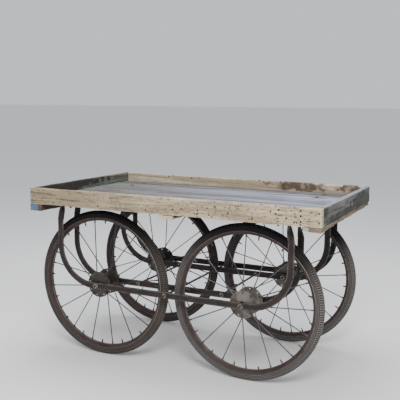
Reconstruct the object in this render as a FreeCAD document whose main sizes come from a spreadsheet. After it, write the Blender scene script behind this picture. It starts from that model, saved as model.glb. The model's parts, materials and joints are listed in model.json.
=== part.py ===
import FreeCAD, Part

import math
import os
from types import SimpleNamespace

import Sketcher
from FreeCAD import Placement, Rotation, Vector

# Four-wheeled wooden hand cart, in millimetres.
# A shallow plank tray stands on four spoked wheels.  On each long side two flat bars, bent
# like a wide U, hang from the tray, and both wheels of that side run between them.
# X runs along the tray, Y across it (the front side is -Y) and Z is up.  The origin is on
# the ground, under the middle of the whole cart: its left wheels stand out past the tray, so
# the tray's own middle lies a little to the right.

DIMENSIONS = [
    ("tray_length", 1430, "outside length of the tray"),
    ("tray_width", 888, "outside width of the tray"),
    ("tray_middle", 19.5, "X of the tray's middle"),
    ("rim_bottom", 740, "underside of the rim boards and of the deck"),
    ("rim_height", 78, "height of the rim boards"),
    ("board_thick", 24, "thickness of the rim boards"),
    ("rear_joint", -390.5, "where the two lengths of the rear board meet"),
    ("joint_gap", 2, "gap in that joint"),
    ("deck_thick", 32, "thickness of the deck planks"),
    ("plank_gap", 2.5, "gap between two deck planks"),
    ("plank_one", 160, "width of the plank at the front"),
    ("plank_two", 168, "width of the second plank"),
    ("plank_three", 178, "width of the third plank"),
    ("plank_four", 204, "width of the fourth plank"),
    ("plank_five", 120, "width of the plank at the rear"),
    ("batten_left_start", -695.5, "left edge of the left batten"),
    ("batten_left_width", 64, "its width"),
    ("batten_left_thick", 33, "its thickness"),
    ("batten_middle_start", 5.5, "left edge of the middle batten"),
    ("batten_middle_width", 66, "its width"),
    ("batten_middle_thick", 19, "its thickness"),
    ("batten_right_start", 657.5, "left edge of the right batten"),
    ("batten_right_width", 75, "its width"),
    ("batten_right_thick", 20, "its thickness"),
    ("nail_radius", 1.8, "shank of a wire nail"),
    ("nail_head_radius", 4, "head of a wire nail"),
    ("nail_head_thick", 1.2, "thickness of that head"),
    ("rim_nail_length", 60, "nails through the rim boards"),
    ("deck_nail_length", 48, "nails through the deck into the battens"),
    ("corner_nail_inset", 20, "from a rim board's edge to its corner nails"),
    ("edge_nail_step", 35, "from a plank's middle to the nails into its end"),
    ("deck_nail_step", 45, "from a plank's middle to its nails into a batten"),
    ("drill_past", 1, "how far a drill runs past the wood at either side"),
    ("axle_height", 355, "height of the axles, which is the tyre's radius"),
    ("wheel_left", -379.5, "X of the left wheels"),
    ("wheel_right", 364.5, "X of the right wheels"),
    ("wheel_front", -294, "Y of the front wheels' middle plane"),
    ("wheel_rear", 279, "Y of the rear wheels' middle plane"),
    ("bar_offset", 66, "from a wheel's middle plane to the middle of each bar"),
    ("bar_width", 30, "width of the flat bar"),
    ("bar_thick", 6, "thickness of the flat bar"),
    ("bar_left", -580.5, "X of the bars' left upright"),
    ("bar_right", 585.5, "X of the bars' right upright"),
    ("bend_radius", 185, "middle radius of the bars' two large bends"),
    ("twist_start", 655, "height where the uprights begin to twist"),
    ("twist_end", 727, "height where the quarter twist is complete"),
    ("bar_lean", 12, "how far an upright leans in over its twist"),
    ("foot_length", 70, "length of the bent foot under the deck"),
    ("foot_bend", 6, "inside radius of the foot's bend"),
    ("foot_bolt_inset", 48, "from the upright to the foot's bolt"),
    ("foot_bolt_radius", 4, "shank of a foot bolt"),
    ("foot_bolt_end", 720, "height of a foot bolt's lower end"),
    ("foot_bolt_head", 10, "radius of a foot bolt's domed head"),
    ("foot_bolt_crown", 5.5, "radius of the flat on top of that head"),
    ("foot_bolt_dome", 4, "height of that head"),
    ("foot_nut_flats", 13, "across the flats of a foot nut"),
    ("foot_nut_thick", 7, "thickness of a foot nut"),
    ("hole_play", 0.3, "how much wider than its bolt a bolt hole is, on the radius"),
    ("rod_left", -221.5, "X of the left tie rod"),
    ("rod_middle", -7.5, "X of the middle tie rod, between the tyres"),
    ("rod_right", 219.5, "X of the right tie rod"),
    ("rod_radius", 5, "radius of the tie rods"),
    ("rod_end", 20, "how far a tie rod stands out of its bar"),
    ("rod_nut_flats", 17, "across the flats of a tie rod's nut"),
    ("rod_nut_thick", 8, "thickness of that nut"),
    ("axle_radius", 6, "radius of the fixed axles"),
    ("axle_half", 86, "half the length of an axle"),
    ("axle_nut_flats", 19, "across the flats of the axle nuts"),
    ("axle_nut_thick", 10, "thickness of an outer axle nut"),
    ("lock_nut_thick", 6, "thickness of a lock nut"),
    ("washer_radius", 12, "radius of an axle washer"),
    ("washer_thick", 2, "thickness of an axle washer"),
    ("cone_start", 39.5, "inner end of a bearing cone, from the wheel's plane"),
    ("cone_shoulder", 46, "where the cone's dust collar starts"),
    ("cone_radius", 10.3, "radius of the cone under the balls"),
    ("collar_radius", 14, "radius of the cone's dust collar"),
    ("ball_radius", 3.175, "quarter-inch bearing balls"),
    ("ball_count", 10, "balls in each bearing"),
    ("ball_play", 0.02, "play between ball and cup"),
    ("hub_half", 50, "half the length of the hub shell"),
    ("hub_radius", 21, "radius of the hub's barrel"),
    ("hub_bore", 8.5, "bore of the barrel between the bearings"),
    ("cup_radius", 16.8, "radius of the bearing cups"),
    ("cup_floor", 39, "floor of the bearing cups, from the wheel's plane"),
    ("flange_radius", 62, "radius of the hub's flanges"),
    ("flange_thick", 3, "thickness of a flange along the axle"),
    ("flange_root", 47, "flange's place at the barrel, from the wheel's plane"),
    ("flange_edge", 40.4, "flange's place at its edge"),
    ("spoke_circle", 52, "radius of the circle of spoke holes"),
    ("spoke_hole", 2.8, "radius of a spoke hole in the flange"),
    ("spoke_radius", 2.5, "radius of a spoke"),
    ("spoke_count", 16, "spokes laced into a wheel, half as many as the rim has holes"),
    ("spoke_seat", 46.8, "spoke's elbow, from the wheel's plane"),
    ("head_radius", 4.2, "radius of a spoke's head"),
    ("head_place", 39.7, "outer face of a spoke's head, from the wheel's plane"),
    ("head_thick", 1.4, "thickness of a spoke's head"),
    ("nipple_radius", 3.5, "radius of a nipple's barrel"),
    ("nipple_length", 15, "how far a nipple stands in from the rim"),
    ("nipple_head", 4.9, "radius of a nipple's head"),
    ("nipple_head_thick", 2, "thickness of that head"),
    ("nipple_lift", 1.1, "gap under the head's middle, which stands aslant on the rim"),
    ("stub_length", 7, "how far a broken spoke's end stands out of its nipple"),
    ("rim_hole", 4.2, "radius of a nipple hole in the rim"),
    ("valve_hole", 4.6, "radius of the valve hole in the rim"),
    ("rim_floor", 306, "inside radius of the steel rim"),
    ("rim_shelf", 309, "inside radius of the rim under the tyre's beads"),
    ("rim_edge", 323, "radius of the rim's rolled edges"),
    ("rim_sheet", 2, "thickness of the rim's steel"),
    ("rim_half", 18, "half the rim's width"),
    ("well_half", 6, "half the width of the rim's middle channel"),
    ("well_slope", 3, "how much wider the channel is where it meets the shelves"),
    ("rim_flare", 5, "how far the rim flares between a shelf and its edge, both ways"),
    ("rim_fold", 0.8, "sideways step from a fold's inside corner to its outside corner"),
    ("shoulder_half", 13.5, "from the tyre's middle plane to a shoulder, outside"),
    ("shoulder_half_inside", 9.8, "the same, inside the tyre"),
    ("bead_extra", 2.5, "how much thicker the tyre's wall is at its bead"),
    ("wall_start", 2, "how far inside the rim's edge the wall's bulge starts, on the radius"),
    ("tyre_wall", 4, "thickness of the tyre's side wall"),
    ("tyre_play", 0.1, "gap between the tyre and the rim"),
    ("bead_height", 4, "height of the tyre's beads"),
    ("tyre_shoulder", 6, "how far the shoulders lie in from the tread's crown"),
    ("side_bend", 22, "radius of the side walls' bulge, outside"),
    ("crown_bend", 18.2, "radius of the tread's crown, outside"),
    ("side_bend_inside", 23, "radius of the side walls' bulge, inside"),
    ("crown_bend_inside", 12.1, "radius of the crown, inside"),
    ("tube_centre", 331, "middle radius of the inner tube"),
    ("tube_radius", 13.6, "outside radius of the inner tube's section"),
    ("tube_wall", 1.5, "thickness of the inner tube"),
    ("valve_radius", 3.5, "radius of the valve stem"),
    ("valve_tip", 280, "radius that the valve stem's tip reaches"),
]


class Size:
    """A length with its value and with the expression that binds it to the sheet."""

    def __init__(self, value, text=None):
        self.value = float(value)
        self.text = text or repr(self.value)

    def _join(self, sign, other, value):
        return Size(value, f"({self.text} {sign} {other.text})")

    def __add__(self, other):
        other = as_size(other)
        return self._join("+", other, self.value + other.value)

    def __sub__(self, other):
        other = as_size(other)
        return self._join("-", other, self.value - other.value)

    def __mul__(self, other):
        other = as_size(other)
        return self._join("*", other, self.value * other.value)

    def __truediv__(self, other):
        other = as_size(other)
        return self._join("/", other, self.value / other.value)

    def __neg__(self):
        return Size(-self.value, f"(0 - {self.text})")


def as_size(number):
    return number if isinstance(number, Size) else Size(number)


doc = FreeCAD.newDocument("hand_cart")
sheet = doc.addObject("Spreadsheet::Sheet", "dims")
for row, (alias, value, meaning) in enumerate(DIMENSIONS, start=1):
    sheet.set(f"A{row}", meaning)
    sheet.set(f"B{row}", str(value))
    sheet.setAlias(f"B{row}", alias)
doc.recompute()

# Every dimension by name: a Size for features that are bound to the sheet, and a plain
# number for the shapes that are worked out here.
d = SimpleNamespace(**{a: Size(sheet.get(a), f"dims.{a}") for a, _, _ in DIMENSIONS})
n = SimpleNamespace(**{a: float(sheet.get(a)) for a, _, _ in DIMENSIONS})

parts = []


def finish(obj, label):
    """Give a finished sub-part its name and put it on the list of files to write."""
    obj.Label = label
    parts.append(obj)
    return obj


# ---------------------------------------------------------------- helpers: plain solids

def bind(obj, **sizes):
    for prop, size in sizes.items():
        obj.setExpression(prop, as_size(size).text)


def place(obj, x, y, z, rotation=None):
    obj.Placement = Placement(Vector(), rotation or Rotation())
    for axis, size in zip("xyz", (x, y, z)):
        obj.setExpression(f"Placement.Base.{axis}", as_size(size).text)


def box(name, corner, extent):
    solid = doc.addObject("Part::Box", name)
    bind(solid, Length=extent[0], Width=extent[1], Height=extent[2])
    place(solid, *corner)
    return solid


def cylinder(name, radius, height, start, direction=Vector(0, 1, 0)):
    solid = doc.addObject("Part::Cylinder", name)
    bind(solid, Radius=radius, Height=height)
    place(solid, *start, rotation=Rotation(Vector(0, 0, 1), direction))
    return solid


def group(label, shapes):
    """Identical small pieces as separate solids in one sub-part."""
    feature = doc.addObject("Part::Feature", label)
    feature.Shape = Part.makeCompound(shapes)
    return finish(feature, label)


def hex_nut(start, direction, flats, thickness, bore):
    across_corners = flats / 3 ** 0.5
    corners = [Rotation(Vector(0, 0, 1), 60 * k) * Vector(across_corners, 0, 0) for k in range(7)]
    nut = Part.Face(Part.makePolygon(corners)).extrude(Vector(0, 0, thickness))
    nut = nut.cut(Part.makeCylinder(bore, thickness))
    nut.Placement = Placement(start, Rotation(Vector(0, 0, 1), direction))
    return nut


def ring(start, direction, radius, thickness, bore):
    outer = Part.makeCylinder(radius, thickness, start, direction)
    return outer.cut(Part.makeCylinder(bore, thickness, start, direction))


def nail(point, direction, length):
    """A nail whose head is flush with the surface at point."""
    shank = Part.makeCylinder(n.nail_radius, length, point, direction)
    return shank.fuse(Part.makeCylinder(n.nail_head_radius, n.nail_head_thick, point, direction))


# ------------------------------------------------------------- helpers: bodies, sketches

def new_body(name):
    return doc.addObject("PartDesign::Body", name)


def origin_feature(body, role):
    return next(f for f in body.Origin.OriginFeatures if f.Role == role)


def new_sketch(body, name, role, offset=None):
    sketch = body.newObject("Sketcher::SketchObject", name)
    sketch.AttachmentSupport = [(origin_feature(body, role), "")]
    sketch.MapMode = "FlatFace"
    if offset:
        sketch.AttachmentOffset = offset
    return sketch


def hold(sketch, kind, *where, size):
    """Add a dimension to a sketch and bind it to the sheet."""
    index = sketch.addConstraint(Sketcher.Constraint(kind, *where, as_size(size).value))
    sketch.setExpression(f"Constraints[{index}]", as_size(size).text)


def pin_point(sketch, geometry, end, x, y):
    hold(sketch, "DistanceX", -1, 1, geometry, end, size=x)
    hold(sketch, "DistanceY", -1, 1, geometry, end, size=y)


def arc_through(here, after, radius, turn):
    """The arc of this radius from here to after that turns left or right on its way."""
    chord = after - here
    reach = (radius ** 2 - (chord.Length / 2) ** 2) ** 0.5
    aside = Vector(-chord.y, chord.x, 0).normalize() * (1 if turn == "left" else -1)
    centre = (here + after) / 2 + aside * reach
    middle = centre - aside * radius
    return (Part.Arc(here, middle, after), 1, 2) if turn == "left" else (
        Part.Arc(after, middle, here), 2, 1)


def outline(sketch, corners):
    """Closed outline through corners (x, y).  From a corner (x, y, radius, turn) an arc of
    that radius, turning left or right, leads to the next.  Every corner is dimensioned."""
    points = [Vector(as_size(c[0]).value, as_size(c[1]).value, 0) for c in corners]
    ends = []
    for k, corner in enumerate(corners):
        here, after = points[k], points[(k + 1) % len(points)]
        if len(corner) == 2:
            ends.append((sketch.addGeometry(Part.LineSegment(here, after)), 1, 2))
            continue
        curve, start, stop = arc_through(here, after, as_size(corner[2]).value, corner[3])
        arc = sketch.addGeometry(curve)
        hold(sketch, "Radius", arc, size=corner[2])
        ends.append((arc, start, stop))
    for k, (geometry, start, stop) in enumerate(ends):
        following, follow_start, _ = ends[(k + 1) % len(ends)]
        sketch.addConstraint(
            Sketcher.Constraint("Coincident", geometry, stop, following, follow_start))
        pin_point(sketch, geometry, start, corners[k][0], corners[k][1])


def circle(sketch, x, y, radius):
    middle = Vector(as_size(x).value, as_size(y).value, 0)
    index = sketch.addGeometry(Part.Circle(middle, Vector(0, 0, 1), as_size(radius).value))
    pin_point(sketch, index, 3, x, y)
    hold(sketch, "Radius", index, size=radius)


def cut_through(body, name, sketch, side="both"):
    """Pocket right through the body, on both sides of the sketch, above it or below it."""
    doc.recompute()
    before = body.Shape.Volume
    pocket = body.newObject("PartDesign::Pocket", name)
    pocket.Profile = sketch
    pocket.Type = "ThroughAll"
    pocket.Midplane = side == "both"
    pocket.Reversed = side == "above"
    doc.recompute()
    if body.Shape.Volume >= before:
        raise RuntimeError(f"{name} cuts nothing")
    return pocket


def turn_about_axle(body, name, feature, occurrences, angle=360):
    pattern = body.newObject("PartDesign::PolarPattern", name)
    pattern.Originals = [feature]
    pattern.Axis = (origin_feature(body, "Y_Axis"), [""])
    pattern.Angle = angle
    pattern.Occurrences = occurrences
    body.Tip = pattern


def revolved(body, name, corners):
    """Solid of revolution about Y, from an outline in (radius, Y)."""
    sketch = new_sketch(body, f"{name}_profile", "XY_Plane")
    outline(sketch, corners)
    turned = body.newObject("PartDesign::Revolution", f"{name}_turned")
    turned.Profile = sketch
    turned.ReferenceAxis = (sketch, ["V_Axis"])
    turned.Angle = 360
    return turned


# ------------------------------------------------------------------------- the tray

tray_left = d.tray_middle - d.tray_length / 2
tray_right = d.tray_middle + d.tray_length / 2
inner_left = tray_left + d.board_thick
inner_right = tray_right - d.board_thick
half_width = d.tray_width / 2
inner_width = half_width - d.board_thick
deck_top = d.rim_bottom + d.deck_thick
foot_bolt_xs = (d.bar_left + d.bar_lean + d.foot_bolt_inset,
                d.bar_right - d.bar_lean - d.foot_bolt_inset)
bar_rows = {
    "bar_front_outer": d.wheel_front - d.bar_offset,
    "bar_front_inner": d.wheel_front + d.bar_offset,
    "bar_rear_inner": d.wheel_rear - d.bar_offset,
    "bar_rear_outer": d.wheel_rear + d.bar_offset,
}


def deck_plank(number, start, width):
    """A plank as long as the tray's inside, drilled for the foot bolts that it covers."""
    label = f"deck_plank_{number}"
    board = box(f"{label}_board", (inner_left, start, d.rim_bottom),
                (inner_right - inner_left, width, d.deck_thick))
    rows = [y for y in bar_rows.values() if start.value < y.value < start.value + width.value]
    drills = [
        cylinder(f"{label}_drill", d.foot_bolt_radius + d.hole_play,
                 d.deck_thick + d.drill_past * 2, (x, y, d.rim_bottom - d.drill_past),
                 Vector(0, 0, 1))
        for y in rows for x in foot_bolt_xs]
    if not drills:
        return finish(board, label)
    bits = doc.addObject("Part::Compound", f"{label}_drills")
    bits.Links = drills
    drilled = doc.addObject("Part::Cut", f"{label}_drilled")
    drilled.Base = board
    drilled.Tool = bits
    return finish(drilled, label)


plank_widths = (d.plank_one, d.plank_two, d.plank_three, d.plank_four, d.plank_five)
plank_middles = []
plank_start = -inner_width
for number, plank_width in enumerate(plank_widths, start=1):
    deck_plank(number, plank_start, plank_width)
    plank_middles.append((plank_start + plank_width / 2).value)
    plank_start = plank_start + plank_width + d.plank_gap


def rim_board(label, x, y, length, width):
    finish(box(label, (x, y, d.rim_bottom), (length, width, d.rim_height)), label)


# The front board covers the ends of the two end boards; those run on past the rear board,
# which is pieced together from two lengths.
rim_board("rim_board_front", tray_left, -half_width, d.tray_length, d.board_thick)
rim_board("rim_board_left", tray_left, -inner_width,
          d.board_thick, d.tray_width - d.board_thick)
rim_board("rim_board_right", inner_right, -inner_width,
          d.board_thick, d.tray_width - d.board_thick)
rim_board("rim_board_rear_short", inner_left, inner_width,
          d.rear_joint - d.joint_gap / 2 - inner_left, d.board_thick)
rim_board("rim_board_rear_long", d.rear_joint + d.joint_gap / 2, inner_width,
          inner_right - d.rear_joint - d.joint_gap / 2, d.board_thick)

battens = {
    "batten_left": (d.batten_left_start, d.batten_left_width, d.batten_left_thick),
    "batten_middle": (d.batten_middle_start, d.batten_middle_width, d.batten_middle_thick),
    "batten_right": (d.batten_right_start, d.batten_right_width, d.batten_right_thick),
}
for label, (start, width, thick) in battens.items():
    finish(box(label, (start, -half_width, d.rim_bottom - thick),
               (width, d.tray_width, thick)), label)


LONG_BOARD_NAIL_XS = (-560, -310, -60, 190, 440, 620)


def board_nails():
    """Nails through the rim boards: two at each corner, and a row into the deck's edge."""
    corner_heights = (n.rim_bottom + n.corner_nail_inset,
                      n.rim_bottom + n.rim_height - n.corner_nail_inset)
    deck_middle = n.rim_bottom + n.deck_thick / 2
    front, behind = -half_width.value, half_width.value
    nails = []
    for end, inward in ((tray_left.value, 1), (tray_right.value, -1)):
        for height in corner_heights:
            nails.append(nail(Vector(end + inward * n.board_thick / 2, front, height),
                              Vector(0, 1, 0), n.rim_nail_length))
            nails.append(nail(Vector(end, behind - n.board_thick / 2, height),
                              Vector(inward, 0, 0), n.rim_nail_length))
        for y in plank_middles:
            for step in (-n.edge_nail_step, n.edge_nail_step):
                nails.append(nail(Vector(end, y + step, deck_middle),
                                  Vector(inward, 0, 0), n.rim_nail_length))
    for x in LONG_BOARD_NAIL_XS:
        nails.append(nail(Vector(x, front, deck_middle), Vector(0, 1, 0), n.rim_nail_length))
        nails.append(nail(Vector(x, behind, deck_middle), Vector(0, -1, 0), n.rim_nail_length))
    return nails


def deck_nails():
    """Two nails through each plank into each batten."""
    return [
        nail(Vector((start + width / 2).value, y + step, deck_top.value),
             Vector(0, 0, -1), n.deck_nail_length)
        for start, width, _ in battens.values() for y in plank_middles
        for step in (-n.deck_nail_step, n.deck_nail_step)]


group("board_nails", board_nails())
group("deck_nails", deck_nails())

# --------------------------------------------------------------------- the side bars

QUARTER_TURN_STEPS = 6
TWISTED_BACK = ("bar_front_inner_right",)  # the one upright that is twisted the other way
outer_bend = d.bend_radius + d.bar_width / 2
inner_bend = d.bend_radius - d.bar_width / 2
left_bend_x = d.bar_left + d.bend_radius
right_bend_x = d.bar_right - d.bend_radius
bend_z = d.axle_height + d.bend_radius
half_bar = d.bar_width / 2


def band(body, name):
    """The flat lower part: two uprights, two large bends and the straight run between."""
    sketch = new_sketch(body, f"{name}_band", "XZ_Plane")
    low, high = d.axle_height - half_bar, d.axle_height + half_bar
    outline(sketch, [
        (d.bar_left - half_bar, d.twist_start),
        (d.bar_left - half_bar, bend_z, outer_bend, "left"),
        (left_bend_x, low),
        (right_bend_x, low, outer_bend, "left"),
        (d.bar_right + half_bar, bend_z),
        (d.bar_right + half_bar, d.twist_start),
        (d.bar_right - half_bar, d.twist_start),
        (d.bar_right - half_bar, bend_z, inner_bend, "right"),
        (right_bend_x, high),
        (left_bend_x, high, inner_bend, "right"),
        (d.bar_left + half_bar, bend_z),
        (d.bar_left + half_bar, d.twist_start),
    ])
    pad = body.newObject("PartDesign::Pad", f"{name}_flat")
    pad.Profile = sketch
    pad.Midplane = True
    bind(pad, Length=d.bar_thick)


def twisted_upright(body, name, x, inward):
    """The stretch of an upright that leans in and twists a quarter turn on the way up."""
    quarter = -90 if name in TWISTED_BACK else 90
    sections = []
    for step in range(QUARTER_TURN_STEPS + 1):
        turn = Rotation(Vector(0, 0, 1), quarter * step / QUARTER_TURN_STEPS)
        middle = x + d.bar_lean * inward * step / QUARTER_TURN_STEPS
        section = new_sketch(body, f"{name}_section_{step}", "XY_Plane",
                             Placement(Vector(middle.value, 0, 0), turn))
        height = d.twist_start + (d.twist_end - d.twist_start) * step / QUARTER_TURN_STEPS
        section.setExpression("AttachmentOffset.Base.x", middle.text)
        section.setExpression("AttachmentOffset.Base.z", height.text)
        half_thick = d.bar_thick / 2
        outline(section, [(-half_bar, -half_thick), (half_bar, -half_thick),
                          (half_bar, half_thick), (-half_bar, half_thick)])
        sections.append(section)
    loft = body.newObject("PartDesign::AdditiveLoft", f"{name}_twist")
    loft.Profile = sections[0]
    loft.Sections = sections[1:]
    loft.Ruled = True


def foot(body, name, x, inward):
    """The upright's top, bent over into a foot that lies under the deck."""
    sketch = new_sketch(body, f"{name}_foot_side", "XZ_Plane")
    back = x - d.bar_thick / 2 * inward
    front = x + d.bar_thick / 2 * inward
    centre_x = front + d.foot_bend * inward
    tip = x + d.foot_length * inward
    centre_z = d.rim_bottom - d.bar_thick - d.foot_bend
    over, back_down = ("right", "left") if inward > 0 else ("left", "right")
    outline(sketch, [
        (back, d.twist_end),
        (back, centre_z, d.foot_bend + d.bar_thick, over),
        (centre_x, d.rim_bottom),
        (tip, d.rim_bottom),
        (tip, d.rim_bottom - d.bar_thick),
        (centre_x, d.rim_bottom - d.bar_thick, d.foot_bend, back_down),
        (front, centre_z),
        (front, d.twist_end),
    ])
    pad = body.newObject("PartDesign::Pad", f"{name}_foot")
    pad.Profile = sketch
    pad.Midplane = True
    bind(pad, Length=d.bar_width)


def side_bar(label, y, rod_xs):
    """One flat-iron bar; rod_xs are the places of the tie rods that pass through it."""
    body = new_body(label)
    band(body, label)
    for side, x, inward in (("left", d.bar_left, 1), ("right", d.bar_right, -1)):
        twisted_upright(body, f"{label}_{side}", x, inward)
        foot(body, f"{label}_{side}", x + d.bar_lean * inward, inward)
    holes = new_sketch(body, f"{label}_holes", "XZ_Plane")
    for x in (d.wheel_left, d.wheel_right):
        circle(holes, x, d.axle_height, d.axle_radius + d.hole_play)
    for x in rod_xs:
        circle(holes, x, d.axle_height, d.rod_radius + d.hole_play)
    cut_through(body, f"{label}_drilled", holes)
    bolt_holes = new_sketch(body, f"{label}_bolt_holes", "XY_Plane",
                            Placement(Vector(0, 0, n.twist_end), Rotation()))
    bolt_holes.setExpression("AttachmentOffset.Base.z", d.twist_end.text)
    for x in foot_bolt_xs:
        circle(bolt_holes, x, 0, d.foot_bolt_radius + d.hole_play)
    cut_through(body, f"{label}_feet_drilled", bolt_holes, side="above")
    if len(body.Shape.Solids) != 1:
        raise RuntimeError(f"{label} is in {len(body.Shape.Solids)} pieces")
    place(body, 0, y, 0)
    finish(body, label)


for label, y in bar_rows.items():
    inner = label.endswith("inner")
    rods = (d.rod_left, d.rod_middle, d.rod_right) if inner else (d.rod_middle,)
    side_bar(label, y, rods)


def foot_bolts():
    """Carriage bolts, head on the deck and end below the foot."""
    bolts = []
    for y in bar_rows.values():
        for x in foot_bolt_xs:
            at_deck = Vector(x.value, y.value, deck_top.value)
            shank = Part.makeCylinder(n.foot_bolt_radius, deck_top.value - n.foot_bolt_end,
                                      at_deck, Vector(0, 0, -1))
            head = Part.makeCone(n.foot_bolt_head, n.foot_bolt_crown, n.foot_bolt_dome,
                                 at_deck, Vector(0, 0, 1))
            bolts.append(shank.fuse(head))
    return bolts


def foot_nuts():
    height = n.rim_bottom - n.bar_thick
    return [
        hex_nut(Vector(x.value, y.value, height), Vector(0, 0, -1),
                n.foot_nut_flats, n.foot_nut_thick, n.foot_bolt_radius)
        for y in bar_rows.values() for x in foot_bolt_xs]


group("foot_bolts", foot_bolts())
group("foot_nuts", foot_nuts())

# ---------------------------------------------------------------------- the tie rods

half_thick = d.bar_thick / 2
tie_rods = {
    "tie_rod_left": (d.rod_left, bar_rows["bar_front_inner"], bar_rows["bar_rear_inner"]),
    "tie_rod_middle": (d.rod_middle, bar_rows["bar_front_outer"], bar_rows["bar_rear_outer"]),
    "tie_rod_right": (d.rod_right, bar_rows["bar_front_inner"], bar_rows["bar_rear_inner"]),
}
for label, (x, front, rear) in tie_rods.items():
    reach = half_thick + d.rod_end
    finish(cylinder(label, d.rod_radius, rear - front + reach * 2,
                    (x, front - reach, d.axle_height)), label)


def rod_nuts():
    """A nut on each side of the bar at both ends of each tie rod."""
    nuts = []
    for x, front, rear in tie_rods.values():
        for y in (front, rear):
            for side in (-1, 1):
                start = Vector(x.value, y.value + side * half_thick.value, n.axle_height)
                nuts.append(hex_nut(start, Vector(0, side, 0), n.rod_nut_flats,
                                    n.rod_nut_thick, n.rod_radius))
    return nuts


group("rod_nuts", rod_nuts())

# --------------------------------------------------------- the axles and their hardware

corners = {
    "front_left": (d.wheel_left, d.wheel_front),
    "front_right": (d.wheel_right, d.wheel_front),
    "rear_left": (d.wheel_left, d.wheel_rear),
    "rear_right": (d.wheel_right, d.wheel_rear),
}
for corner, (x, y) in corners.items():
    finish(cylinder(f"{corner}_axle", d.axle_radius, d.axle_half * 2,
                    (x, y - d.axle_half, d.axle_height)), f"{corner}_axle")

bar_inside = n.bar_offset - n.bar_thick / 2
bar_outside = n.bar_offset + n.bar_thick / 2
lock_nut_start = bar_inside - n.washer_thick - n.lock_nut_thick


def at_each_axle_end(make):
    """One solid from make(point on the axle, outward direction) at all eight axle ends."""
    return [
        make(Vector(x.value, y.value, n.axle_height), Vector(0, side, 0))
        for x, y in corners.values() for side in (-1, 1)]


def bearing_cone(middle, outward):
    """A cone screwed on the axle: the race under the balls and a wider dust collar."""
    race = Part.makeCylinder(n.cone_radius, n.cone_shoulder - n.cone_start,
                             middle + outward * n.cone_start, outward)
    collar = Part.makeCylinder(n.collar_radius, lock_nut_start - n.cone_shoulder,
                               middle + outward * n.cone_shoulder, outward)
    bore = Part.makeCylinder(n.axle_radius, lock_nut_start - n.cone_start,
                             middle + outward * n.cone_start, outward)
    return race.fuse(collar).cut(bore)


def lock_nut(middle, outward):
    return hex_nut(middle + outward * lock_nut_start, outward,
                   n.axle_nut_flats, n.lock_nut_thick, n.axle_radius)


def outer_nut(middle, outward):
    return hex_nut(middle + outward * (bar_outside + n.washer_thick), outward,
                   n.axle_nut_flats, n.axle_nut_thick, n.axle_radius)


def inner_washer(middle, outward):
    return ring(middle + outward * (bar_inside - n.washer_thick), outward,
                n.washer_radius, n.washer_thick, n.axle_radius)


def outer_washer(middle, outward):
    return ring(middle + outward * bar_outside, outward,
                n.washer_radius, n.washer_thick, n.axle_radius)


group("bearing_cones", at_each_axle_end(bearing_cone))
group("axle_nuts", at_each_axle_end(lock_nut) + at_each_axle_end(outer_nut))
group("axle_washers", at_each_axle_end(inner_washer) + at_each_axle_end(outer_washer))

# ------------------------------------------------------------------------- the wheels
# A wheel is drawn about its own middle, with its axle along Y.  Angles run from +X to +Z.

SPOKES = int(n.spoke_count)
SPOKE_STEP = 360 / SPOKES
HOLE_STEP = SPOKE_STEP / 2
nipple_seat = n.rim_floor + n.rim_sheet


def mirrored(half):
    """A profile from its half at Y >= 0, listed away from the middle plane and back."""
    return half + [(r, -y) for r, y in reversed(half)]


def at_angle(radius, degrees, y):
    """Point of a wheel at this radius, angle and distance from its middle plane."""
    return Rotation(Vector(0, 1, 0), -degrees) * Vector(radius, y, 0)


def hub_shell(label):
    """Barrel, two dished flanges and the bearing cups, turned in one piece."""
    body = new_body(label)
    half_flange = d.flange_thick / 2
    revolved(body, label, mirrored([
        (d.hub_radius, d.flange_root - half_flange),
        (d.flange_radius, d.flange_edge - half_flange),
        (d.flange_radius, d.flange_edge + half_flange),
        (d.hub_radius, d.flange_root + half_flange),
        (d.hub_radius, d.hub_half),
        (d.cup_radius, d.hub_half),
        (d.cup_radius, d.cup_floor),
        (d.hub_bore, d.cup_floor),
    ]))
    hole = new_sketch(body, f"{label}_hole", "XZ_Plane")
    circle(hole, d.spoke_circle, 0, d.spoke_hole)
    pocket = cut_through(body, f"{label}_drilled", hole)
    turn_about_axle(body, f"{label}_holes", pocket, SPOKES)
    return body


def steel_rim(label, valve_turn):
    """Westwood rim: a middle channel for the nipples, two shelves and two rolled edges."""
    body = new_body(label)
    inside = d.rim_half - d.rim_sheet
    revolved(body, label, mirrored([
        (d.rim_floor, d.well_half),
        (d.rim_shelf, d.well_half + d.well_slope),
        (d.rim_shelf, d.rim_half - d.rim_flare),
        (d.rim_shelf + d.rim_flare, d.rim_half),
        (d.rim_edge, d.rim_half),
        (d.rim_edge, inside),
        (d.rim_shelf + d.rim_flare + d.rim_sheet / 2, inside),
        (d.rim_shelf + d.rim_sheet, d.rim_half - d.rim_flare - d.rim_fold),
        (d.rim_shelf + d.rim_sheet, d.well_half + d.well_slope - d.rim_fold),
        (d.rim_floor + d.rim_sheet, d.well_half - d.rim_fold),
    ]))
    hole = new_sketch(body, f"{label}_hole", "XY_Plane")
    circle(hole, 0, 0, d.rim_hole)
    pocket = cut_through(body, f"{label}_drilled", hole)
    turn_about_axle(body, f"{label}_holes", pocket, SPOKES, 180 - HOLE_STEP)
    valve = new_sketch(body, f"{label}_valve", "XY_Plane", Placement(Vector(), valve_turn))
    circle(valve, 0, 0, d.valve_hole)
    cut_through(body, f"{label}_valve_hole", valve, side="below")
    return body


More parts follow.
